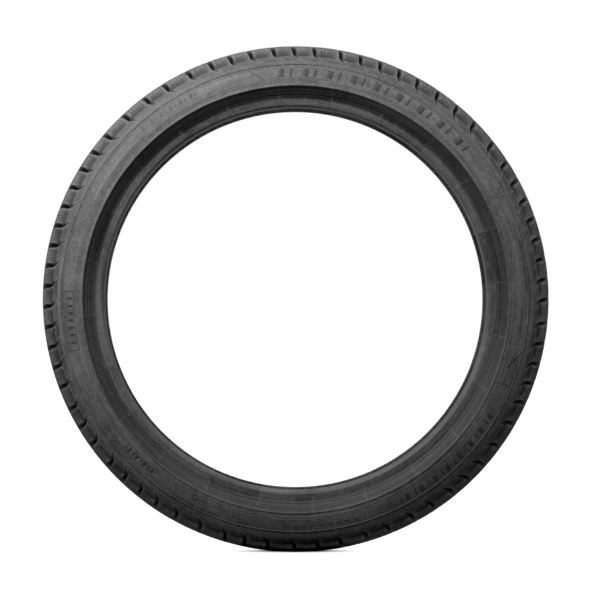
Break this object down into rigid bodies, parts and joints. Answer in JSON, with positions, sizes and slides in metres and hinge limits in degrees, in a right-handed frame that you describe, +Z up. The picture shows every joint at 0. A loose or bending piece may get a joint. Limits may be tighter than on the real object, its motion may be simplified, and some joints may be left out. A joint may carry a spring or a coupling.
{
  "type": "tire",
  "caption": "Low-profile radial winter car tire with siped shoulder blocks and a rim-protector rib, shown unmounted, with its inner layers and beads.",
  "frame": {"origin": "centre of the tire, on its axis and midway between its two sides", "axes": "+Y along the axis, away from the outboard side; +Z up; the outboard side faces -Y"},
  "size_m": [0.639, 0.2312, 0.6389],
  "materials": {
    "tread_rubber": "matt black tread rubber with fine dust",
    "wing_rubber": "matt black rubber at the tread edge",
    "base_rubber": "black rubber under the tread",
    "sidewall_rubber": "satin black sidewall rubber, moulded",
    "rim_rubber": "satin hard black rubber at the rim",
    "liner_rubber": "smooth grey-black butyl with bladder marks",
    "gum_rubber": "plain black gum",
    "apex_rubber": "hard black rubber",
    "steel_belt": "brass-coated steel cords in black rubber",
    "nylon_cord": "nylon cords in black rubber",
    "textile_ply": "polyester cords in black rubber",
    "bead_fabric": "woven nylon in black rubber",
    "bead_wire": "bronze-coated drawn steel wire"
  },
  "bodies": {
    "root": {"bead_apex_inboard": "apex_rubber", "bead_apex_outboard": "apex_rubber", "bead_chipper_inboard": "bead_fabric", "bead_chipper_outboard": "bead_fabric", "bead_core_inboard": "bead_wire", "bead_core_outboard": "bead_wire", "bead_flipper_inboard": "bead_fabric", "bead_flipper_outboard": "bead_fabric", "belt_cushion_inboard": "gum_rubber", "belt_cushion_outboard": "gum_rubber", "belt_edge_gum_inboard": "gum_rubber", "belt_edge_gum_outboard": "gum_rubber", "belt_inner": "steel_belt", "belt_outer": "steel_belt", "cap_edge_strip_inboard": "nylon_cord", "cap_edge_strip_outboard": "nylon_cord", "cap_ply": "nylon_cord", "carcass_ply": "textile_ply", "inner_liner": "liner_rubber", "rim_strip_inboard": "rim_rubber", "rim_strip_outboard": "rim_rubber", "sidewall_inboard": "sidewall_rubber", "sidewall_outboard": "sidewall_rubber", "tie_gum": "gum_rubber", "toe_guard_inboard": "rim_rubber", "toe_guard_outboard": "rim_rubber", "tread_base": "base_rubber", "tread_cap": "tread_rubber", "tread_wing_inboard": "wing_rubber", "tread_wing_outboard": "wing_rubber"}
  },
  "joints": []
}
